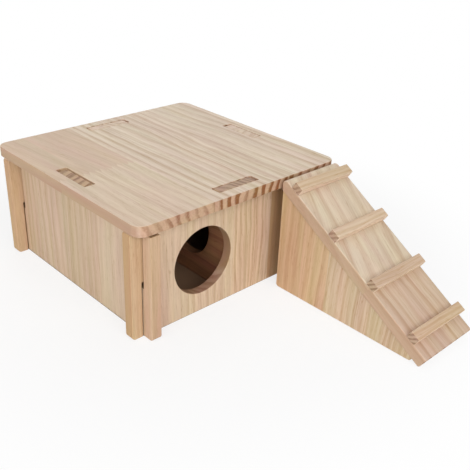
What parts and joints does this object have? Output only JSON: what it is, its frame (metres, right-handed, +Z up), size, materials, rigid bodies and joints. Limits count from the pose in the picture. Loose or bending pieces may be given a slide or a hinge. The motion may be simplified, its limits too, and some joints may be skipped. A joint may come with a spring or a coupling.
{
  "type": "wooden hamster house",
  "caption": "Small-animal house of cross-lapped pine boards with round doorways, a lift-off roof seated on tabs, and a free-standing climbing ramp with rungs.",
  "frame": {"origin": "middle of the house on the floor that it stands on", "axes": "+X to the right along the front wall, +Y from the doorway to the back, +Z up"},
  "size_m": [0.2, 0.3421, 0.097],
  "materials": {
    "roof_pine": "untreated pine board glued from staves, planed and lightly sanded",
    "wall_pine": "untreated pine board, grain upright, planed and lightly sanded",
    "partition_pine": "untreated pine board, grain level, planed",
    "ramp_board_pine": "untreated pine board, grain down the slope, sanded",
    "ramp_side_pine": "untreated golden pine board, grain upright, sanded",
    "rung_pine": "untreated pine strip, sawn and sanded"
  },
  "bodies": {
    "house": {"front_wall": "wall_pine", "back_wall": "wall_pine", "left_wall": "wall_pine", "right_wall": "wall_pine", "partition": "partition_pine"},
    "roof": {"roof": "roof_pine"},
    "ramp": {"ramp_board": "ramp_board_pine", "ramp_left_side": "ramp_side_pine", "ramp_right_side": "ramp_side_pine", "rung_1": "rung_pine", "rung_2": "rung_pine", "rung_3": "rung_pine", "rung_4": "rung_pine"}
  },
  "joints": [
    {"name": "roof_lift", "type": "slide", "parent": "house", "child": "roof", "axis": [0, 0, 1], "range_m": [0, 0.06]},
    {"name": "ramp_slide", "type": "slide", "parent": "house", "child": "ramp", "axis": [0, -1, 0], "range_m": [0, 0.06]}
  ]
}
